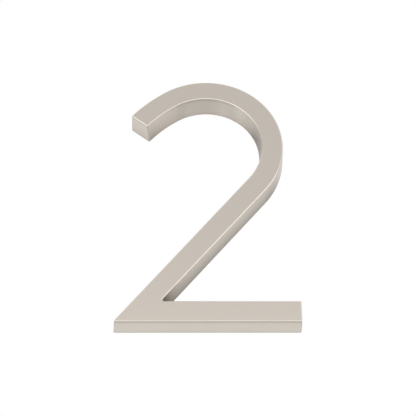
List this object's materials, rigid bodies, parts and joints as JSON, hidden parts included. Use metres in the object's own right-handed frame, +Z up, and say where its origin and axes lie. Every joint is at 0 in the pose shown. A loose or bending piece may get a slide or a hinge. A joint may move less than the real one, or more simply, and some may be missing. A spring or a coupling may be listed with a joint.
{
  "type": "house number",
  "caption": "Cast house number showing the numeral two: rounded hook, slanted leg and flat bar, satin nickel plated, with tapped stud holes in its flat back for wall fixing.",
  "frame": {"origin": "midway between the stud holes, on the flat back that lies against the wall", "axes": "+X to the reader's right, +Y into the wall, +Z up as the numeral hangs; the face looks towards -Y"},
  "size_m": [0.0832, 0.0127, 0.127],
  "materials": {
    "satin_nickel": "satin nickel plate on die-cast zinc"
  },
  "bodies": {
    "root": {"numeral": "satin_nickel"}
  },
  "joints": []
}
